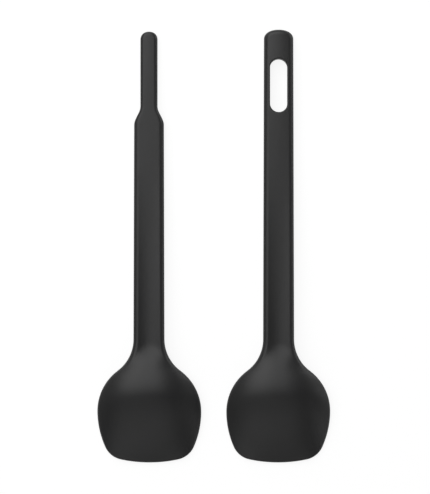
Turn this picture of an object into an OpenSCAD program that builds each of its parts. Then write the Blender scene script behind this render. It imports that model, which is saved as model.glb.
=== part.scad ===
// Two moulded salad servers that join into one-handed tongs: the tongue of one goes through the slot of the
// other. They lie side by side, backs up, with the bowl tips towards -Y and the handle ends towards +Y.

/* [Pair] */
// Length of the slotted server from tip to handle end
server_len = 300; // [280:1:320]
// How much shorter the tongue server is
tongue_short = 1.3; // [0:0.1:5]
// Distance between the centre lines of the two servers
pair_pitch = 89.5; // [80:0.5:120]

/* [Bowl] */
// Width of the bowl at its widest place
bowl_w = 72.1; // [66:0.1:76]
// Distance from the tip to the widest place
widest_from_tip = 35.75; // [33:0.25:38]
// Radius of the sides between the widest place and the corners
side_r = 62; // [50:1:75]
// Radius of the corners beside the tip
corner_r = 15.4; // [12:0.1:17]
// Radius of the blunt tip edge
tip_r = 92; // [75:1:120]
// Radius of the fillets between the bowl and the handle
neck_r = 27.3; // [22:0.1:32]
// Distance from the tip to where the bowl's back has run out into the handle
bowl_len = 83.5; // [78:0.5:88]
// Wall thickness of the bowl
bowl_wall = 2.6; // [2.2:0.1:3.4]
// Depth of the bowl's hollow
bowl_depth = 12; // [9:0.25:15]
// Distance from the tip to the deepest place
deepest_from_tip = 46; // [40:0.5:50]
// How far the rim at the tip drops below the middle of the handle
tip_drop = 11; // [8:0.25:14]

/* [Handle] */
// Width of the handle where the neck starts
neck_w = 21.4; // [20:0.1:24]
// Width of the handle near its end
end_w = 20.2; // [19:0.1:22]
// Thickness of the handle at its edges
handle_t = 6.8; // [5.8:0.1:7.4]
// Depth of the channel in the back of the handle at the neck
channel_depth = 1.3; // [0.5:0.1:2]
// Distance from the tip to the flat place between the channel and the crown, on the slotted server
slot_flat = 188; // [160:1:220]
// The same on the tongue server
tongue_flat = 207; // [170:1:225]
// Height of the crown on the back of the slotted end
slot_crown = 1.3; // [0.3:0.1:1.6]
// Height of the crown on the front of the handle
front_crown = 0.5; // [0.2:0.1:1]
// Length of the slotted server's rounded end
end_cap = 6.65; // [5.5:0.05:8.5]
// Squareness of the rounded ends, 2 for an ellipse
end_squareness = 2.2; // [2:0.05:2.8]

/* [Tongue and slot] */
// Width of the tongue
tongue_w = 11.8; // [11:0.1:12.6]
// Thickness of the tongue, which is thinned on the front
tongue_t = 5; // [4.2:0.1:5.6]
// Length of the tongue from its shoulder to its end
tongue_len = 51.6; // [44:0.1:58]
// Length of the shoulder between the handle and the tongue
shoulder_len = 12.6; // [11:0.1:20]
// Length of the tongue's rounded end
tongue_cap = 5.6; // [4.6:0.1:7]
// Height of the crown on the back of the tongue
tongue_crown = 0.4; // [0:0.1:0.8]
// Room between the tongue and each side of the slot
slot_clearance = 0.1; // [0.1:0.05:0.4]
// Length of the slot
slot_len = 36.8; // [30:0.2:44]
// Distance from the handle end to the slot
slot_from_end = 20.2; // [16:0.2:24]
// Size of the bevel around the slot's two mouths
slot_lip = 0.7; // [0.4:0.1:1]

/* [Hidden] */
PLASTIC = "#303030";
$fn = 64;

// Steps of the surface grid along the outline: tip edge, corner, side, shoulder, neck, shank, end
TIP_STEPS = 6;
CORNER_STEPS = 5;
SIDE_STEPS = 7;
SHOULDER_STEPS = 8;
NECK_STEPS = 8;
SHANK_STEP_MM = 9.5;
TONGUE_SHOULDER_STEPS = 9;
END_STEPS = 7;
// Steps of the surface grid from the edge to the centre line: over the rounded edge, then inside it
ROUND_STEPS = 4;
INNER_STEPS = 6;
COLUMNS = ROUND_STEPS + INNER_STEPS;
RING = 4 * COLUMNS;

// Exponents of the bowl's curve from the deepest place to the tip, and from its centre to its sides
TIP_POWER = 2.1;
SIDE_POWER = 2.7;
// The grid's centre line stops this far from the tip, and this far inside the rounded edge of a handle end
TIP_SPINE = 10;
END_SPINE = 0.5;
// Length over which the channel runs out into the bowl's back
CHANNEL_RUNOUT = 16;
// Length before and after the bowl's end over which the crown of the front builds up
FRONT_RUNOUT = 15;
// How far the slot's cutter reaches past the handle
CUT_PAST = 5;

bowl_r = bowl_w / 2;
neck_s = widest_from_tip + sqrt((bowl_r + neck_r) ^ 2 - (neck_w / 2 + neck_r) ^ 2);
blend_s = widest_from_tip + (neck_s - widest_from_tip) * bowl_r / (bowl_r + neck_r);
slot_half = tongue_w / 2 + slot_clearance;
// The tongue's back stays level with the handle's, so its middle rises by half of what its front loses
tongue_step = (handle_t - tongue_t) / 2;
slot_middle_s = server_len - slot_from_end - slot_len / 2;

// The corner's centre lies inside both the side's circle and the tip edge's circle
side_c = [bowl_r - side_r, widest_from_tip];
tip_c = [0, tip_r];
corner_c = circles_cross(side_c, side_r - corner_r, tip_c, tip_r - corner_r);
corner_from = heading(corner_c - tip_c);
corner_to = heading(corner_c - side_c);
corner_top_s = corner_c.y + corner_r * sin(corner_to);

function heading(v) = atan2(v.y, v.x);

// The crossing of two circles that lies to the right of the line from the first centre to the second
function circles_cross(a, ra, b, rb) =
    let (d = norm(b - a), u = (b - a) / d, along = (ra ^ 2 - rb ^ 2 + d ^ 2) / (2 * d))
    a + u * along + [u.y, -u.x] * sqrt(ra ^ 2 - along ^ 2);

// A smooth step from 0 at a to 1 at b
function ramp(s, a, b) = let (t = max(0, min(1, (s - a) / (b - a)))) t * t * (3 - 2 * t);

function length_of(tongue) = server_len - (tongue ? tongue_short : 0);
function shoulder_s(tongue) = length_of(tongue) - tongue_len - shoulder_len;
function tongue_share(s, tongue) =
    tongue ? ramp(s, shoulder_s(tongue), shoulder_s(tongue) + shoulder_len) : 0;

function handle_half(s) =
    (neck_w + (end_w - neck_w) * max(0, s - neck_s) / (server_len - neck_s)) / 2;

// Half the width at the distance s from the tip, with the tip's corners and the rounded end left square
function half_width(s, tongue) =
    s < widest_from_tip ? side_c.x + sqrt(side_r ^ 2 - (s - widest_from_tip) ^ 2)
    : s < blend_s ? sqrt(bowl_r ^ 2 - (s - widest_from_tip) ^ 2)
    : s < neck_s ? neck_w / 2 + neck_r - sqrt(neck_r ^ 2 - (neck_s - s) ^ 2)
    : handle_half(s) + (tongue_w / 2 - handle_half(s)) * tongue_share(s, tongue);

function half_thickness(s, tongue) =
    let (handle = handle_t / 2 - tongue_step * tongue_share(s, tongue))
    bowl_wall / 2 + (handle - bowl_wall / 2) * ramp(s, deepest_from_tip, bowl_len);

// Height of the rim, and of the bowl's middle surface above the rim along its centre line
function rim_z(s) = -tip_drop * (1 - ramp(s, 0, bowl_len));
function bulge(s) = bowl_depth * (s < deepest_from_tip
    ? 1 - ((deepest_from_tip - s) / deepest_from_tip) ^ TIP_POWER
    : 1 - ramp(s, deepest_from_tip, bowl_len));
function middle_z(x, s, tongue) =
    rim_z(s) + bulge(s) * (1 - min(1, abs(x) / half_width(s, tongue)) ^ SIDE_POWER)
    + tongue_step * tongue_share(s, tongue);

// What the channel takes off the back of the handle, and the crown adds to it
function back_relief(x, s, tongue) = let (
        half = half_width(s, tongue),
        bed = half - half_thickness(s, tongue),
        flat_s = tongue ? tongue_flat : slot_flat,
        crown = (tongue ? tongue_crown : slot_crown) * max(0, (s - flat_s) / (server_len - flat_s)),
        channel = channel_depth * max(0, min(1, (flat_s - s) / (flat_s - bowl_len)))
            * ramp(s, bowl_len - CHANNEL_RUNOUT, bowl_len))
    crown * (1 - (x / half) ^ 2) - channel * max(0, 1 - (x / bed) ^ 2);

function front_relief(x, s, tongue) =
    front_crown * ramp(s, bowl_len - FRONT_RUNOUT, bowl_len + FRONT_RUNOUT)
    * (1 - (x / half_width(s, tongue)) ^ 2);

// Rows of the grid, from the tip to the handle end. A row is the distance of its inner end from the tip,
// along the centre line, and then its outer end on the outline.
function spread(a, b, steps) = [for (i = [1 : steps]) a + (b - a) * i / steps];

function tip_outline() = concat(
    [for (i = [0 : TIP_STEPS]) let (a = -90 + (corner_from + 90) * i / TIP_STEPS)
        tip_c + tip_r * [cos(a), sin(a)]],
    [for (a = spread(corner_from, corner_to, CORNER_STEPS)) corner_c + corner_r * [cos(a), sin(a)]],
    [for (s = spread(corner_top_s, widest_from_tip, SIDE_STEPS)) [half_width(s, false), s]]);

function tip_rows() = let (outline = tip_outline(), last = len(outline) - 1)
    [for (i = [0 : last]) [TIP_SPINE + (widest_from_tip - TIP_SPINE) * i / last, outline[i]]];

function shank_stations(tongue) = let (
        end_s = length_of(tongue) - cap_of(tongue),
        bend_s = tongue ? shoulder_s(tongue) : end_s,
        tongue_s = tongue ? shoulder_s(tongue) + shoulder_len : end_s)
    concat(
        spread(widest_from_tip, blend_s, SHOULDER_STEPS),
        spread(blend_s, neck_s, NECK_STEPS),
        spread(neck_s, bend_s, round((bend_s - neck_s) / SHANK_STEP_MM)),
        tongue ? spread(bend_s, tongue_s, TONGUE_SHOULDER_STEPS) : [],
        tongue ? spread(tongue_s, end_s, round((end_s - tongue_s) / SHANK_STEP_MM)) : []);

function cap_of(tongue) = tongue ? tongue_cap : end_cap;

function end_rows(tongue) = let (
        cap = cap_of(tongue),
        start_s = length_of(tongue) - cap,
        half = half_width(start_s, tongue),
        spine_run = cap - half_thickness(start_s, tongue) - END_SPINE,
        power = 2 / end_squareness)
    [for (i = [1 : END_STEPS]) let (a = 90 * i / END_STEPS)
        [start_s + spine_run * i / END_STEPS,
         [half * cos(a) ^ power, start_s + cap * sin(a) ^ power]]];

function server_rows(tongue) = concat(
    tip_rows(),
    [for (s = shank_stations(tongue)) [s, [half_width(s, tongue), s]]],
    end_rows(tongue));

// One ring of the grid: from the right edge over the back to the left edge, and back along the front
function ring_column(k) = min(k % (2 * COLUMNS), 2 * COLUMNS - k % (2 * COLUMNS));
function ring_side(k) = k <= COLUMNS || k >= 3 * COLUMNS ? 1 : -1;

function inset(column, row_len, round_r) = column <= ROUND_STEPS
    ? round_r * (1 - cos(90 * column / ROUND_STEPS))
    : round_r + (row_len - round_r) * (column - ROUND_STEPS) / INNER_STEPS;

function grid_point(row, k, tongue) = let (
        spine = [0, row[0]],
        row_len = norm(row[1] - spine),
        round_r = half_thickness(row[1].y, tongue),
        e = inset(ring_column(k), row_len, round_r),
        at = row[1] + (spine - row[1]) * e / row_len,
        fullness = sqrt(1 - (1 - min(1, e / round_r)) ^ 2),
        half_t = half_thickness(at.y, tongue),
        above = half_t + back_relief(at.x, at.y, tongue),
        below = half_t + front_relief(at.x, at.y, tongue))
    [ring_side(k) * at.x, at.y,
     middle_z(at.x, at.y, tongue) + fullness * (k < 2 * COLUMNS ? above : -below)];

// The first and last rings lie on the centre line, so their left points are their right ones
function folded(k) = k <= COLUMNS || k >= 3 * COLUMNS ? k % RING
    : k <= 2 * COLUMNS ? 2 * COLUMNS - k : (6 * COLUMNS - k) % RING;

function point_index(ring, k, last) = ring * RING + (ring == 0 || ring == last ? folded(k) : k % RING);

function grid_faces(last) = [for (ring = [0 : last - 1], k = [0 : RING - 1]) let (
        a = point_index(ring, k, last),
        b = point_index(ring, k + 1, last),
        c = point_index(ring + 1, k + 1, last),
        d = point_index(ring + 1, k, last))
    each (ring == 0) == (ring_column(k) > ring_column(k + 1))
        ? [[a, b, c], [a, c, d]] : [[a, b, d], [b, c, d]]];

function grid_points(rows, tongue) =
    [for (row = rows, k = [0 : RING - 1]) grid_point(row, k, tongue)];

// Lying down, a server touches the ground with its tip edge and its handle end: the tilt is that of the line
// under the two rounds, the lift brings the lowest point to the ground, and half the tip's lean centres it.
function lying_tilt(tongue) = let (
        tip_round = bowl_wall / 2,
        end_round = half_thickness(length_of(tongue), tongue),
        run = length_of(tongue) - end_round - tip_round,
        rise = tip_drop - front_crown + (tongue ? tongue_step : 0))
    atan2(rise, run) - asin((end_round - tip_round) / norm([run, rise]));

function lying_lift(points, tilt) = -min([for (p = points) p.z * cos(tilt) - p.y * sin(tilt)]);

module moulding(points, last) {
    polyhedron(points, grid_faces(last), convexity = 8);
}

// The slot along Y, with a bevel where it comes out of the back and of the front
module slot_cutter() {
    run = slot_len - 2 * slot_half;
    back = handle_t / 2 + back_relief(slot_half, slot_middle_s, false);
    front = handle_t / 2 + front_relief(slot_half, slot_middle_s, false);
    stadium(slot_half, slot_half, handle_t + 2 * CUT_PAST, run);
    translate([0, 0, back - slot_lip + CUT_PAST / 2])
        stadium(slot_half, slot_half + CUT_PAST, CUT_PAST, run);
    translate([0, 0, slot_lip - front - CUT_PAST / 2])
        stadium(slot_half + CUT_PAST, slot_half, CUT_PAST, run);
}

// A straight-sided prism with round ends, from one half width at the bottom to another at the top
module stadium(low_half, high_half, height, run) {
    for (end = [-1, 1])
        translate([0, end * run / 2, -height / 2])
            cylinder(height, low_half, high_half);
    rotate([90, 0, 0])
        linear_extrude(run, center = true)
            polygon([[-low_half, -height / 2], [low_half, -height / 2],
                [high_half, height / 2], [-high_half, height / 2]]);
}

module lying(side, points, tongue) {
    tilt = lying_tilt(tongue);
    lean = tip_drop * sin(tilt);
    translate([side * pair_pitch / 2, lean / 2, lying_lift(points, tilt)])
        rotate([-tilt, 0, 0])
            children();
}

function centred(points) = [for (p = points) p - [0, server_len / 2, 0]];

module tongue_server() {
    rows = server_rows(true);
    points = centred(grid_points(rows, true));
    color(PLASTIC)
        lying(-1, points, true)
            moulding(points, len(rows) - 1);
}

module slotted_server() {
    rows = server_rows(false);
    points = centred(grid_points(rows, false));
    color(PLASTIC)
        lying(1, points, false)
            difference() {
                moulding(points, len(rows) - 1);
                translate([0, slot_middle_s - server_len / 2, 0])
                    slot_cutter();
            }
}

tongue_server();
slotted_server();
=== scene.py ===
"""Looks of two salad servers that join into tongs: the mouldings, their black nylon and the studio."""

import math

import bpy
from mathutils import Matrix, Vector


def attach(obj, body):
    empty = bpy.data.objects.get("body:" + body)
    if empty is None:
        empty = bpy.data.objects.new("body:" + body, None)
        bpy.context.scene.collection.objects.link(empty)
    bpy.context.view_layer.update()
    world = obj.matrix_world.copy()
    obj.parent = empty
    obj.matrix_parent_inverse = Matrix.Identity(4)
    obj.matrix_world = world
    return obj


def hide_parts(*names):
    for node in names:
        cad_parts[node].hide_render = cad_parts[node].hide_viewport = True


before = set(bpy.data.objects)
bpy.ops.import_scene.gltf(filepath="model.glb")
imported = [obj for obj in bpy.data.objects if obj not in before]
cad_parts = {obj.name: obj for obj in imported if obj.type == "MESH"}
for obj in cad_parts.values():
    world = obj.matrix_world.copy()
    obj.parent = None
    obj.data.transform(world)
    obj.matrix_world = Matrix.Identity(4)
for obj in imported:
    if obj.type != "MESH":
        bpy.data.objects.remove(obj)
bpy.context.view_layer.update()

MM = 0.001
QUARTER_TURN = math.pi / 2

# Sizes of the servers, as in the part's source. Distances along a server run from the bowl's tip.
SERVER_LEN = 300 * MM
TONGUE_SHORT = 1.3 * MM
PAIR_PITCH = 89.5 * MM

BOWL_W = 72.1 * MM
WIDEST = 35.75 * MM
SIDE_R = 62 * MM
CORNER_R = 15.4 * MM
TIP_R = 92 * MM
NECK_R = 27.3 * MM
BOWL_WALL = 2.6 * MM
BOWL_DEPTH = 12 * MM
BOWL_LEN = 83.5 * MM
DEEPEST = 46 * MM
TIP_DROP = 11 * MM
TIP_POWER = 2.1
SIDE_POWER = 2.7

NECK_W = 21.4 * MM
END_W = 20.2 * MM
HANDLE_T = 6.8 * MM
CHANNEL_DEPTH = 1.3 * MM
CHANNEL_RUNOUT = 16 * MM
CHANNEL_SOFTNESS = 0.25
FRONT_RUNOUT = 15 * MM
TONGUE_FLAT = 207 * MM
SLOT_FLAT = 188 * MM
SLOT_CROWN = 1.3 * MM
FRONT_CROWN = 0.5 * MM
END_CAP = 6.65 * MM
END_SQUARENESS = 2.2

TONGUE_W = 11.8 * MM
TONGUE_T = 5 * MM
TONGUE_LEN = 51.6 * MM
SHOULDER_LEN = 12.6 * MM
TONGUE_CAP = 5.6 * MM
TONGUE_CROWN = 0.4 * MM
SLOT_HALF = 6 * MM
SLOT_LEN = 36.8 * MM
SLOT_FROM_END = 20.2 * MM
SLOT_LIP = 0.7 * MM

# Places that follow from the sizes
BOWL_R = BOWL_W / 2
NECK = WIDEST + math.sqrt((BOWL_R + NECK_R) ** 2 - (NECK_W / 2 + NECK_R) ** 2)
BLEND = WIDEST + (NECK - WIDEST) * BOWL_R / (BOWL_R + NECK_R)
SLOT_LOW = SERVER_LEN - SLOT_FROM_END - SLOT_LEN
SLOT_HIGH = SERVER_LEN - SLOT_FROM_END
SHOULDER = SERVER_LEN - TONGUE_SHORT - TONGUE_LEN - SHOULDER_LEN
SHOULDER_TOP = SHOULDER + SHOULDER_LEN

# The grid of the blanks: rows from the tip to the end, and columns from the edge to the centre line
TIP_ROWS = 22
CORNER_ROWS = 18
SIDE_ROWS = 16
NECK_ROW_GAP = 1.6 * MM
HANDLE_ROW_GAP = 3 * MM
SHOULDER_ROW_GAP = 0.8 * MM
SLOT_FAN_ROWS = 14
SLOT_SIDE_ROWS = 14
SPINE_ROWS = 18
END_ROWS = 26
ROUND_COLUMNS = 9
INNER_COLUMNS = 18
LIP_COLUMNS = 6
WALL_COLUMNS = 3
# Along the centre line, rows start this far from the tip and stop this far short of the end's edge round
TIP_SPINE = 10 * MM
END_SPINE = 1.2 * MM
# The rows begin to lean towards the slot at this distance, and fan out over this length at its round ends
FAN_START = 212 * MM
SLOT_FAN = 14 * MM
# Half the thickness of a flat blank, whose upper face becomes the back and whose lower face the front
BLANK_HALF = 1 * MM
# A row that ends this close to the slot's edge ends in the slot
ON_SLOT_EDGE = 0.01 * MM
FAR_FROM_SLOT = 1.0
# Points that agree to this many decimals of a millimetre are one point
MERGE_DIGITS = 5

# The nylon. The real grain is about 0.15 mm across. It is drawn coarser so that it shows.
GRAIN_SIZE = 0.5 * MM
GRAIN_HEIGHT = 0.035 * MM
FLOW_SIZE = 28 * MM
FLOW_LOW, FLOW_HIGH = 0.3, 0.7
SHEEN_LOW, SHEEN_HIGH = 0.43, 0.49
POLISHED_EDGE = 1.6 * MM
POLISH = 0.04
NYLON_IOR = 1.53

# The studio, in metres. The floor glows less near the servers, so that it keeps their shadow. Their gloss
# mirrors a share of the glow, because the edges in the photo are dark.
SURROUND_LIGHT = 0.077
WHITE = 1.0
FLOOR_REACH = 3.0
NEAR_GLOW = 0.88
NEAR_FLOOR, FAR_FLOOR = 0.3, 1.2
GLOSS_SHARE = 0.5

# The camera, at a distance that suits a product photo, aims a little off the middle of the pair's box
CAMERA_DISTANCE = 1.2
LENS_MM = 126.66
SENSOR_MM = 36
AIM = Vector((0.84, 0.22, 7.75)) * MM


def srgb(hex_colour):
    """A hex sRGB colour as linear RGBA."""
    parts = [int(hex_colour[i:i + 2], 16) / 255 for i in (1, 3, 5)]
    return [p / 12.92 if p <= 0.04045 else ((p + 0.055) / 1.055) ** 2.4 for p in parts] + [1]


def add(tree, kind, sockets=None, **settings):
    """Adds a node, sets its properties, and fills its sockets with values or with other nodes' outputs."""
    made = tree.nodes.new(kind)
    for key, value in settings.items():
        setattr(made, key, value)
    for key, value in (sockets or {}).items():
        if isinstance(value, bpy.types.NodeSocket):
            tree.links.new(value, made.inputs[key])
        else:
            made.inputs[key].default_value = value
    return made


def empty_tree(owner):
    """The node tree of a material or of the world, with no nodes in it yet."""
    owner.use_nodes = True
    owner.node_tree.nodes.clear()
    return owner.node_tree


def put(name, data):
    """A new object in the scene."""
    made = bpy.data.objects.new(name, data)
    bpy.context.scene.collection.objects.link(made)
    return made


def ramp(s, low, high):
    """A smooth step from 0 to 1."""
    t = max(0, min(1, (s - low) / (high - low)))
    return t * t * (3 - 2 * t)


def spread(a, b, steps):
    """Even steps from a to b, without a itself."""
    return [a + (b - a) * i / steps for i in range(1, steps + 1)]


def half_width(s, tongue):
    """Half the width at s, with the tip's corners and the rounded end left square."""
    if s < WIDEST:
        return BOWL_R - SIDE_R + math.sqrt(SIDE_R ** 2 - (s - WIDEST) ** 2)
    if s < BLEND:
        return math.sqrt(BOWL_R ** 2 - (s - WIDEST) ** 2)
    if s < NECK:
        return NECK_W / 2 + NECK_R - math.sqrt(NECK_R ** 2 - (NECK - s) ** 2)
    handle = (NECK_W + (END_W - NECK_W) * (s - NECK) / (SERVER_LEN - NECK)) / 2
    share = ramp(s, SHOULDER, SHOULDER_TOP) if tongue else 0
    return handle + (TONGUE_W / 2 - handle) * share


def tip_outline():
    """The outline from the tip to the widest place, as points and their ways inward.

    It is three tangent arcs: the blunt tip edge, a corner and the side.
    """
    side_c = Vector((BOWL_R - SIDE_R, WIDEST))
    tip_c = Vector((0, TIP_R))
    inner_side = SIDE_R - CORNER_R
    inner_tip = TIP_R - CORNER_R
    gap = (tip_c - side_c).length
    along = (tip_c - side_c) / gap
    reach = (inner_side ** 2 - inner_tip ** 2 + gap ** 2) / (2 * gap)
    across = math.sqrt(inner_side ** 2 - reach ** 2)
    corner_c = side_c + along * reach + Vector((along.y, -along.x)) * across

    def heading(v):
        return math.atan2(v.y, v.x)

    def on_circle(centre, radius, angle):
        return centre + radius * Vector((math.cos(angle), math.sin(angle)))

    start = heading(corner_c - tip_c)
    stop = heading(corner_c - side_c)
    corner_top = on_circle(corner_c, CORNER_R, stop).y
    tip = [Vector((0, 0))]
    tip += [on_circle(tip_c, TIP_R, angle) for angle in spread(-QUARTER_TURN, start, TIP_ROWS)]
    corner = [on_circle(corner_c, CORNER_R, angle) for angle in spread(start, stop, CORNER_ROWS)]
    side = [Vector((half_width(s, False), s)) for s in spread(corner_top, WIDEST, SIDE_ROWS)]
    arcs = ((tip, tip_c), (corner, corner_c), (side, side_c))
    return [(p, (centre - p).normalized()) for arc, centre in arcs for p in arc]


def slot_rows(end):
    """Rows beside the slot, as the outer end's distance from the tip and the inner end's place.

    They close up below the slot, fan round its lower end, run along it, and do the same above it.
    """
    low_c = SLOT_LOW + SLOT_HALF
    high_c = SLOT_HIGH - SLOT_HALF
    shares = spread(0, 1, SPINE_ROWS)
    turns = spread(0, QUARTER_TURN, SLOT_FAN_ROWS)
    rows = []
    for u in shares:
        inner = FAN_START + (SLOT_LOW - FAN_START) * (1 - (1 - u) ** 2)
        rows.append((FAN_START + (low_c - SLOT_FAN - FAN_START) * u, (0, inner)))
    for turn in turns:
        inner = (SLOT_HALF * math.sin(turn), low_c - SLOT_HALF * math.cos(turn))
        rows.append((low_c - SLOT_FAN + SLOT_FAN * turn / QUARTER_TURN, inner))
    rows += [(s, (SLOT_HALF, s)) for s in spread(low_c, high_c, SLOT_SIDE_ROWS)]
    for turn in turns:
        inner = (SLOT_HALF * math.cos(turn), high_c + SLOT_HALF * math.sin(turn))
        rows.append((high_c + SLOT_FAN * turn / QUARTER_TURN, inner))
    for u in shares:
        outer = high_c + SLOT_FAN + (end - high_c - SLOT_FAN) * u
        rows.append((outer, (0, SLOT_HIGH + (end - SLOT_HIGH) * u ** 2)))
    return rows


def plan_rows(tongue):
    """Rows of the right half, from the tip to the handle end: outer end, its way inward, inner end."""
    outline = tip_outline()
    last = len(outline) - 1
    rows = []
    for i, (outer, inward) in enumerate(outline):
        rows.append((outer, inward, Vector((0, TIP_SPINE + (WIDEST - TIP_SPINE) * i / last))))

    length = SERVER_LEN - (TONGUE_SHORT if tongue else 0)
    cap = TONGUE_CAP if tongue else END_CAP
    end = length - cap
    stops = [(NECK, NECK_ROW_GAP)]
    if tongue:
        stops += [(SHOULDER, HANDLE_ROW_GAP), (SHOULDER_TOP, SHOULDER_ROW_GAP), (end, HANDLE_ROW_GAP)]
    else:
        stops += [(FAN_START, HANDLE_ROW_GAP)]
    s = WIDEST
    stations = []
    for stop, gap in stops:
        stations += spread(s, stop, round((stop - s) / gap))
        s = stop
    across = [(s, (0, s)) for s in stations] + ([] if tongue else slot_rows(end))
    for s, inner in across:
        rows.append((Vector((half_width(s, tongue), s)), Vector((-1, 0)), Vector(inner)))

    half = half_width(end, tongue)
    edge_round = (TONGUE_T if tongue else HANDLE_T) / 2
    power = 2 / END_SQUARENESS
    for i in range(1, END_ROWS + 1):
        turn = QUARTER_TURN * i / END_ROWS
        over, along = (0, 1) if i == END_ROWS else (math.cos(turn), math.sin(turn))
        outer = Vector((half * over ** power, end + cap * along ** power))
        inward = -Vector((over ** (2 - power) / half, along ** (2 - power) / cap)).normalized()
        inner = Vector((0, end + (cap - edge_round - END_SPINE) * i / END_ROWS))
        rows.append((outer, inward, inner))
    return rows


def edge_radius(s, tongue):
    """Half the thickness at s, which is also the radius of the rounded edge."""
    share = ramp(s, SHOULDER, SHOULDER_TOP) if tongue else 0
    handle = (HANDLE_T + (TONGUE_T - HANDLE_T) * share) / 2
    return BOWL_WALL / 2 + (handle - BOWL_WALL / 2) * ramp(s, DEEPEST, BOWL_LEN)


def slot_distance(x, s):
    """Distance from the slot's edge."""
    beyond = max(0, abs(s - (SLOT_LOW + SLOT_HIGH) / 2) - (SLOT_LEN / 2 - SLOT_HALF))
    return math.hypot(x, beyond) - SLOT_HALF


def row_insets(reach, radius):
    """Distances from the edge along a row: close over the rounded edge and the slot's lip, even between."""
    edge_turns = [QUARTER_TURN * k / ROUND_COLUMNS for k in range(ROUND_COLUMNS + 1)]
    rounded = [radius * (1 - math.cos(turn)) for turn in edge_turns]
    inside = spread(radius, reach - SLOT_LIP, INNER_COLUMNS)
    lip = [reach - SLOT_LIP * (1 - math.sin(turn)) for turn in spread(0, QUARTER_TURN, LIP_COLUMNS)]
    return rounded + inside + lip


def flat_blank(name, tongue):
    """The flat blank of a server: its plan as two faces of quads, joined at the edge and in the slot.

    Each point keeps the server's half width there, its distance from the edge and that from the slot.
    """
    points = []
    facts = {"half_width": [], "inset": [], "slot_distance": []}
    index = {}

    def point(x, s, level, inset):
        key = tuple(round(v, MERGE_DIGITS) for v in (x / MM, s / MM, level))
        if key not in index:
            index[key] = len(points)
            points.append((x, s, level * BLANK_HALF))
            facts["half_width"].append(half_width(s, tongue))
            facts["inset"].append(inset)
            facts["slot_distance"].append(FAR_FROM_SLOT if tongue else max(0, slot_distance(x, s)))
        return index[key]

    rings = {1: [], -1: []}
    in_slot = []
    for outer, inward, inner in plan_rows(tongue):
        # The edge round runs square to the outline, and the row then goes straight on to its inner end
        radius = edge_radius(outer.y, tongue)
        seam = outer + inward * radius
        rest = inner - seam
        spots = []
        for inset in row_insets(radius + rest.length, radius):
            past = max(0, inset - radius) / rest.length
            spots.append((outer + inward * min(inset, radius) + rest * past, inset))
        in_slot.append(not tongue and slot_distance(inner.x, inner.y) < ON_SLOT_EDGE)
        levels = [(at, 1, inset) for at, inset in reversed(spots[1:])]
        levels += [(spots[0][0], 0, 0)]
        levels += [(at, -1, inset) for at, inset in spots[1:]]
        if in_slot[-1]:
            at, inset = spots[-1]
            levels += [(at, level, inset) for level in spread(-1, 1, WALL_COLUMNS)]
        for side, ring in rings.items():
            ring.append([point(side * at.x, at.y, level, inset) for at, level, inset in levels])

    faces = []
    face_count = 2 * (ROUND_COLUMNS + INNER_COLUMNS + LIP_COLUMNS)
    for side, ring in rings.items():
        for i in range(len(ring) - 1):
            count = face_count + (WALL_COLUMNS if in_slot[i] and in_slot[i + 1] else 0)
            for k in range(count):
                quad = [ring[i][k], ring[i + 1][k], ring[i + 1][k + 1], ring[i][k + 1]]
                corners = list(dict.fromkeys(quad))
                if len(corners) > 2:
                    faces.append(corners[::-side])

    mesh = bpy.data.meshes.new(name)
    mesh.from_pydata(points, [], faces)
    for fact, values in facts.items():
        mesh.attributes.new(fact, "FLOAT", "POINT").data.foreach_set("value", values)
    return mesh


def moulding_sizes(tongue):
    """The moulding tree's named inputs for one server."""
    return {
        "Length": SERVER_LEN,
        "Bowl Length": BOWL_LEN,
        "Bowl Depth": BOWL_DEPTH,
        "Bowl Wall": BOWL_WALL,
        "Deepest": DEEPEST,
        "Tip Drop": TIP_DROP,
        "Tip Power": TIP_POWER,
        "Side Power": SIDE_POWER,
        "Handle Thickness": HANDLE_T,
        "Tongue Thickness": TONGUE_T if tongue else HANDLE_T,
        "Shoulder": SHOULDER,
        "Shoulder Top": SHOULDER_TOP,
        "Channel Depth": CHANNEL_DEPTH,
        "Channel From": BOWL_LEN - CHANNEL_RUNOUT,
        "Channel Softness": CHANNEL_SOFTNESS,
        "Flat From": TONGUE_FLAT if tongue else SLOT_FLAT,
        "Crown": TONGUE_CROWN if tongue else SLOT_CROWN,
        "Front Crown": FRONT_CROWN,
        "Front From": BOWL_LEN - FRONT_RUNOUT,
        "Front To": BOWL_LEN + FRONT_RUNOUT,
        "Slot Lip": SLOT_LIP,
        "Blank Half": BLANK_HALF,
    }


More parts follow.
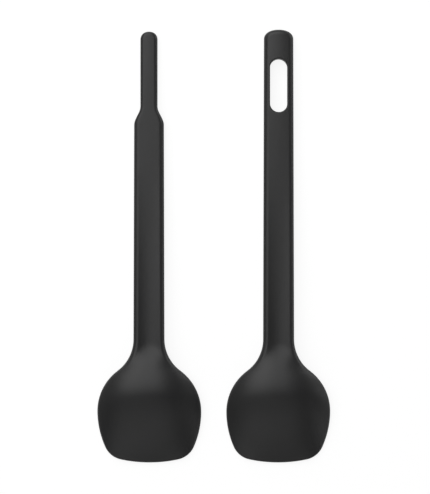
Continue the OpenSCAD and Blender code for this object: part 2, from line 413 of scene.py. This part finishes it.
def moulding_tree():
    """Raises a flat blank into a server by the rules of its form."""
    tree = bpy.data.node_groups.new("moulding", "GeometryNodeTree")
    tree.interface.new_socket("Blank", in_out="INPUT", socket_type="NodeSocketGeometry")
    for name in moulding_sizes(tongue=False):
        tree.interface.new_socket(name, in_out="INPUT", socket_type="NodeSocketFloat")
    tree.interface.new_socket("Plastic", in_out="INPUT", socket_type="NodeSocketMaterial")
    tree.interface.new_socket("Server", in_out="OUTPUT", socket_type="NodeSocketGeometry")

    given = tree.nodes.new("NodeGroupInput").outputs
    position = add(tree, "GeometryNodeInputPosition").outputs[0]
    place = add(tree, "ShaderNodeSeparateXYZ", {0: position}).outputs
    x, s, level = place["X"], place["Y"], place["Z"]
    half, inset, to_slot = [
        add(tree, "GeometryNodeInputNamedAttribute", {"Name": fact}, data_type="FLOAT").outputs[0]
        for fact in ("half_width", "inset", "slot_distance")]

    # Middle surface: the rim drops towards the tip, and the bowl bulges up from it
    rim = add(tree, "ShaderNodeMapRange", {
        "Value": s, "From Max": given["Bowl Length"], "To Min": given["Tip Drop"], "To Max": 0.0,
    }, interpolation_type="SMOOTHSTEP").outputs[0]
    to_neck = add(tree, "ShaderNodeMapRange", {
        "Value": s, "From Min": given["Deepest"], "From Max": given["Bowl Length"],
        "To Min": given["Bowl Depth"], "To Max": 0.0,
    }, interpolation_type="SMOOTHSTEP").outputs[0]
    to_tip = add(tree, "ShaderNodeMapRange", {
        "Value": s, "From Max": given["Deepest"], "To Min": 1.0, "To Max": 0.0,
    }).outputs[0]
    tip_fall = add(tree, "ShaderNodeMath", {0: to_tip, 1: given["Tip Power"]}, operation="POWER").outputs[0]
    tip_share = add(tree, "ShaderNodeMath", {0: 1.0, 1: tip_fall}, operation="SUBTRACT").outputs[0]
    bulge = add(tree, "ShaderNodeMath", {0: to_neck, 1: tip_share}, operation="MULTIPLY").outputs[0]
    size_x = add(tree, "ShaderNodeMath", {0: x}, operation="ABSOLUTE").outputs[0]
    across = add(tree, "ShaderNodeMath", {
        0: size_x, 1: half,
    }, operation="DIVIDE", use_clamp=True).outputs[0]
    side_fall = add(tree, "ShaderNodeMath", {
        0: across, 1: given["Side Power"],
    }, operation="POWER").outputs[0]
    side_share = add(tree, "ShaderNodeMath", {0: 1.0, 1: side_fall}, operation="SUBTRACT").outputs[0]
    raised = add(tree, "ShaderNodeMath", {0: bulge, 1: side_share}, operation="MULTIPLY").outputs[0]
    bowl = add(tree, "ShaderNodeMath", {0: raised, 1: rim}, operation="SUBTRACT").outputs[0]

    # Half the thickness: the bowl's wall, the handle, and the tongue, which is thinner on the front only
    handle = add(tree, "ShaderNodeMapRange", {
        "Value": s, "From Min": given["Shoulder"], "From Max": given["Shoulder Top"],
        "To Min": given["Handle Thickness"], "To Max": given["Tongue Thickness"],
    }, interpolation_type="SMOOTHSTEP").outputs[0]
    thickness = add(tree, "ShaderNodeMapRange", {
        "Value": s, "From Min": given["Deepest"], "From Max": given["Bowl Length"],
        "To Min": given["Bowl Wall"], "To Max": handle,
    }, interpolation_type="SMOOTHSTEP").outputs[0]
    half_t = add(tree, "ShaderNodeMath", {0: thickness, 1: 0.5}, operation="MULTIPLY").outputs[0]
    thinned = add(tree, "ShaderNodeMath", {
        0: given["Handle Thickness"], 1: handle,
    }, operation="SUBTRACT").outputs[0]
    middle = add(tree, "ShaderNodeMath", {0: thinned, 1: 0.5, 2: bowl}, operation="MULTIPLY_ADD").outputs[0]

    # The rounded edge is a half circle
    from_round = add(tree, "ShaderNodeMapRange", {
        "Value": inset, "From Max": half_t, "To Min": 1.0, "To Max": 0.0,
    }).outputs[0]
    fallen = add(tree, "ShaderNodeMath", {0: from_round, 1: 2.0}, operation="POWER").outputs[0]
    kept = add(tree, "ShaderNodeMath", {0: 1.0, 1: fallen}, operation="SUBTRACT").outputs[0]
    fullness = add(tree, "ShaderNodeMath", {0: kept}, operation="SQRT").outputs[0]

    # Crowns on the back and the front
    square = add(tree, "ShaderNodeMath", {0: across, 1: 2.0}, operation="POWER").outputs[0]
    crowned = add(tree, "ShaderNodeMath", {0: 1.0, 1: square}, operation="SUBTRACT").outputs[0]
    crown = add(tree, "ShaderNodeMapRange", {
        "Value": s, "From Min": given["Flat From"], "From Max": given["Length"], "To Max": given["Crown"],
    }).outputs[0]
    back_crown = add(tree, "ShaderNodeMath", {0: crown, 1: crowned}, operation="MULTIPLY").outputs[0]
    front = add(tree, "ShaderNodeMapRange", {
        "Value": s, "From Min": given["Front From"], "From Max": given["Front To"],
        "To Max": given["Front Crown"],
    }, interpolation_type="SMOOTHSTEP").outputs[0]
    front_crown = add(tree, "ShaderNodeMath", {0: front, 1: crowned}, operation="MULTIPLY").outputs[0]

    # The channel along the back, which softly meets the rounded edges and fades along the handle
    bed = add(tree, "ShaderNodeMath", {0: half, 1: half_t}, operation="SUBTRACT").outputs[0]
    in_bed = add(tree, "ShaderNodeMath", {0: x, 1: bed}, operation="DIVIDE").outputs[0]
    bed_square = add(tree, "ShaderNodeMath", {0: in_bed, 1: in_bed}, operation="MULTIPLY").outputs[0]
    hollow = add(tree, "ShaderNodeMath", {0: 1.0, 1: bed_square}, operation="SUBTRACT").outputs[0]
    hollowed = add(tree, "ShaderNodeMath", {
        0: hollow, 1: 0.0, 2: given["Channel Softness"],
    }, operation="SMOOTH_MAX").outputs[0]
    fading = add(tree, "ShaderNodeMapRange", {
        "Value": s, "From Min": given["Bowl Length"], "From Max": given["Flat From"],
        "To Min": given["Channel Depth"], "To Max": 0.0,
    }).outputs[0]
    channel = add(tree, "ShaderNodeMapRange", {
        "Value": s, "From Min": given["Channel From"], "From Max": given["Bowl Length"], "To Max": fading,
    }, interpolation_type="SMOOTHSTEP").outputs[0]
    cut = add(tree, "ShaderNodeMath", {0: channel, 1: hollowed}, operation="MULTIPLY").outputs[0]
    back_relief = add(tree, "ShaderNodeMath", {0: back_crown, 1: cut}, operation="SUBTRACT").outputs[0]

    # The slot's two mouths have quarter-round lips
    lip_left = add(tree, "ShaderNodeMapRange", {
        "Value": to_slot, "From Max": given["Slot Lip"], "To Min": 1.0, "To Max": 0.0,
    }).outputs[0]
    lip_square = add(tree, "ShaderNodeMath", {0: lip_left, 1: 2.0}, operation="POWER").outputs[0]
    lip_kept = add(tree, "ShaderNodeMath", {0: 1.0, 1: lip_square}, operation="SUBTRACT").outputs[0]
    lip_root = add(tree, "ShaderNodeMath", {0: lip_kept}, operation="SQRT").outputs[0]
    lip_share = add(tree, "ShaderNodeMath", {0: 1.0, 1: lip_root}, operation="SUBTRACT").outputs[0]
    lip_fall = add(tree, "ShaderNodeMath", {
        0: lip_share, 1: given["Slot Lip"],
    }, operation="MULTIPLY").outputs[0]

    # The back stands above the middle surface and the front below it. A point's level says which it is on.
    above = add(tree, "ShaderNodeMath", {0: half_t, 1: back_relief}, operation="ADD").outputs[0]
    below = add(tree, "ShaderNodeMath", {0: half_t, 1: front_crown}, operation="ADD").outputs[0]
    back_up = add(tree, "ShaderNodeMath", {
        0: above, 1: fullness, 2: middle,
    }, operation="MULTIPLY_ADD").outputs[0]
    back_z = add(tree, "ShaderNodeMath", {0: back_up, 1: lip_fall}, operation="SUBTRACT").outputs[0]
    front_drop = add(tree, "ShaderNodeMath", {0: below, 1: fullness}, operation="MULTIPLY").outputs[0]
    front_down = add(tree, "ShaderNodeMath", {0: middle, 1: front_drop}, operation="SUBTRACT").outputs[0]
    front_z = add(tree, "ShaderNodeMath", {0: front_down, 1: lip_fall}, operation="ADD").outputs[0]
    low_level = add(tree, "ShaderNodeMath", {
        0: given["Blank Half"], 1: -1.0,
    }, operation="MULTIPLY").outputs[0]
    z = add(tree, "ShaderNodeMapRange", {
        "Value": level, "From Min": low_level, "From Max": given["Blank Half"],
        "To Min": front_z, "To Max": back_z,
    }).outputs[0]

    spot = add(tree, "ShaderNodeCombineXYZ", {"X": x, "Y": s, "Z": z}).outputs[0]
    shaped = add(tree, "GeometryNodeSetPosition", {"Geometry": given["Blank"], "Position": spot}).outputs[0]
    smooth = add(tree, "GeometryNodeSetShadeSmooth", {"Geometry": shaped}).outputs[0]
    real = add(tree, "GeometryNodeRealizeInstances", {"Geometry": smooth}).outputs[0]
    dressed = add(tree, "GeometryNodeSetMaterial", {
        "Geometry": real, "Material": given["Plastic"],
    }).outputs[0]
    add(tree, "NodeGroupOutput", {0: dressed})
    return tree


def lying_tilt(tongue):
    """How far a server leans when it lies on its tip edge and its handle end."""
    tip_round = BOWL_WALL / 2
    end_round = (TONGUE_T if tongue else HANDLE_T) / 2
    run = SERVER_LEN - (TONGUE_SHORT if tongue else 0) - end_round - tip_round
    rise = TIP_DROP - FRONT_CROWN + ((HANDLE_T - TONGUE_T) / 2 if tongue else 0)
    return math.atan2(rise, run) - math.asin((end_round - tip_round) / math.hypot(run, rise))


def server(name, tongue, tree, plastic):
    """A whole server, raised from its blank and laid down where its CAD node is."""
    piece = put(name + "_moulding", flat_blank(name + "_blank", tongue))
    raising = piece.modifiers.new("Moulding", "NODES")
    raising.node_group = tree
    inputs = {**moulding_sizes(tongue), "Plastic": plastic}
    for item in tree.interface.items_tree:
        if item.in_out == "INPUT" and item.name in inputs:
            raising[item.identifier] = inputs[item.name]
    graph = bpy.context.evaluated_depsgraph_get()
    mesh = bpy.data.meshes.new_from_object(piece.evaluated_get(graph), depsgraph=graph)
    mesh.name = name + "_moulding"
    piece.modifiers.remove(raising)
    piece.data = mesh

    tilt = lying_tilt(tongue)
    mesh.transform(Matrix.Rotation(-tilt, 4, "X") @ Matrix.Translation((0, -SERVER_LEN / 2, 0)))
    lift = -min(v.co.z for v in mesh.vertices)
    side = -1 if tongue else 1
    mesh.transform(Matrix.Translation((side * PAIR_PITCH / 2, TIP_DROP * math.sin(tilt) / 2, lift)))
    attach(piece, name)
    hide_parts(name)


def moulded_nylon():
    """Black nylon from a spark-eroded mould: near-black, with a soft even sheen and a very fine grain.

    Handling polishes the rounded edges a little, and the melt's flow leaves faint broad changes of sheen.
    """
    material = bpy.data.materials.new("moulded_black_nylon")
    tree = empty_tree(material)
    where = add(tree, "ShaderNodeTexCoord").outputs["Object"]
    grain = add(tree, "ShaderNodeTexNoise", {
        "Vector": where, "Scale": 1 / GRAIN_SIZE, "Detail": 3.0, "Roughness": 0.6,
    }).outputs[0]
    flow = add(tree, "ShaderNodeTexNoise", {
        "Vector": where, "Scale": 1 / FLOW_SIZE, "Detail": 2.0, "Roughness": 0.5,
    }).outputs[0]
    colour = add(tree, "ShaderNodeValToRGB", {0: flow})
    dark, light = colour.color_ramp.elements
    dark.position = FLOW_LOW
    dark.color = srgb("#202021")
    light.position = FLOW_HIGH
    light.color = srgb("#232323")
    inset = add(tree, "ShaderNodeAttribute", attribute_name="inset").outputs["Fac"]
    polished = add(tree, "ShaderNodeMapRange", {
        "Value": inset, "From Max": POLISHED_EDGE, "To Min": -POLISH, "To Max": 0.0,
    }).outputs[0]
    sheen = add(tree, "ShaderNodeMapRange", {
        "Value": flow, "From Min": FLOW_LOW, "From Max": FLOW_HIGH,
        "To Min": SHEEN_LOW, "To Max": SHEEN_HIGH,
    }).outputs[0]
    roughness = add(tree, "ShaderNodeMath", {0: sheen, 1: polished}, operation="ADD").outputs[0]
    bump = add(tree, "ShaderNodeBump", {
        "Height": grain, "Strength": 1.0, "Distance": GRAIN_HEIGHT,
    }).outputs[0]
    shader = add(tree, "ShaderNodeBsdfPrincipled", {
        "Base Color": colour.outputs[0], "Roughness": roughness, "IOR": NYLON_IOR, "Normal": bump,
    }).outputs[0]
    add(tree, "ShaderNodeOutputMaterial", {"Surface": shader})
    return material


def pale_floor():
    """White paper. The camera sees it lifted to white by a glow, and it keeps the servers' soft shadow."""
    material = bpy.data.materials.new("white_paper")
    tree = empty_tree(material)
    paper = add(tree, "ShaderNodeBsdfDiffuse", {"Color": srgb("#7a7a7a")}).outputs[0]
    path = add(tree, "ShaderNodeLightPath").outputs
    direct = add(tree, "ShaderNodeMath", {
        0: path["Is Camera Ray"], 1: path["Is Transmission Ray"],
    }, operation="ADD").outputs[0]
    seen = add(tree, "ShaderNodeMath", {
        0: path["Is Glossy Ray"], 1: GLOSS_SHARE, 2: direct,
    }, operation="MULTIPLY_ADD", use_clamp=True).outputs[0]
    where = add(tree, "ShaderNodeTexCoord").outputs["Object"]
    away = add(tree, "ShaderNodeVectorMath", {0: where}, operation="LENGTH").outputs["Value"]
    lift = add(tree, "ShaderNodeMapRange", {
        "Value": away, "From Min": NEAR_FLOOR, "From Max": FAR_FLOOR, "To Min": NEAR_GLOW, "To Max": WHITE,
    }).outputs[0]
    lifted = add(tree, "ShaderNodeMath", {0: seen, 1: lift}, operation="MULTIPLY").outputs[0]
    glow = add(tree, "ShaderNodeEmission", {"Color": srgb("#ffffff"), "Strength": lifted}).outputs[0]
    both = add(tree, "ShaderNodeAddShader", {0: paper, 1: glow}).outputs[0]
    add(tree, "ShaderNodeOutputMaterial", {"Surface": both})

    mesh = bpy.data.meshes.new("floor")
    corners = [(x * FLOOR_REACH, y * FLOOR_REACH, 0) for x, y in ((-1, -1), (1, -1), (1, 1), (-1, 1))]
    mesh.from_pydata(corners, [], [(0, 1, 2, 3)])
    mesh.materials.append(material)
    put("floor", mesh)


def softbox(name, towards, distance, width, height, radiance):
    """A soft light of a given radiance that faces the middle of the pair from one direction."""
    lamp = bpy.data.lights.new(name, "AREA")
    lamp.shape = "RECTANGLE"
    lamp.size = width
    lamp.size_y = height
    lamp.energy = radiance * math.pi * width * height
    back = Vector(towards).normalized()
    right = Vector((0, 1, 0)).cross(back).normalized()
    holder = put(name, lamp)
    holder.matrix_world = Matrix((right, back.cross(right), back)).transposed().to_4x4()
    holder.location = back * distance


def studio():
    """A big soft key from the upper left and three low strips on the right.

    A weak fill comes from the bowls' side. The surround gives little light, and the camera sees it white.
    """
    world = bpy.data.worlds.new("studio")
    tree = empty_tree(world)
    seen = add(tree, "ShaderNodeLightPath").outputs["Is Camera Ray"]
    strength = add(tree, "ShaderNodeMapRange", {
        "Value": seen, "To Min": SURROUND_LIGHT, "To Max": WHITE,
    }).outputs[0]
    around = add(tree, "ShaderNodeBackground", {"Color": srgb("#ffffff"), "Strength": strength}).outputs[0]
    add(tree, "ShaderNodeOutputWorld", {"Surface": around})
    bpy.context.scene.world = world
    softbox("key", towards=(-0.42, 0.8, 1), distance=1.6, width=1.86, height=2.6, radiance=1.84)
    softbox("side", towards=(0.8, -0.6, 0.075), distance=1.2, width=1.2, height=0.18, radiance=1.49)
    softbox("corner", towards=(0.866, 0.5, 0.05), distance=1.2, width=0.35, height=0.12, radiance=17.5)
    softbox("rim", towards=(1, 0, 0.15), distance=1.2, width=0.45, height=0.12, radiance=4.3)
    softbox("fill", towards=(-0.3, -1.3, 1), distance=1.4, width=1.5, height=0.6, radiance=0.9)


def camera():
    """Looks square at the slotted server's handle, as in the photo."""
    tilt = lying_tilt(False)
    sight = Vector((0, math.sin(tilt), math.cos(tilt)))
    eye = bpy.data.cameras.new("camera")
    eye.sensor_fit = "VERTICAL"
    eye.sensor_height = SENSOR_MM
    eye.lens = LENS_MM
    holder = put("camera", eye)
    holder.location = AIM + sight * CAMERA_DISTANCE
    holder.rotation_euler = (-tilt, 0, 0)
    bpy.context.scene.camera = holder


moulding = moulding_tree()
nylon = moulded_nylon()
server("tongue_server", True, moulding, nylon)
server("slotted_server", False, moulding, nylon)
pale_floor()
studio()
camera()
bpy.context.scene.view_settings.view_transform = "Standard"
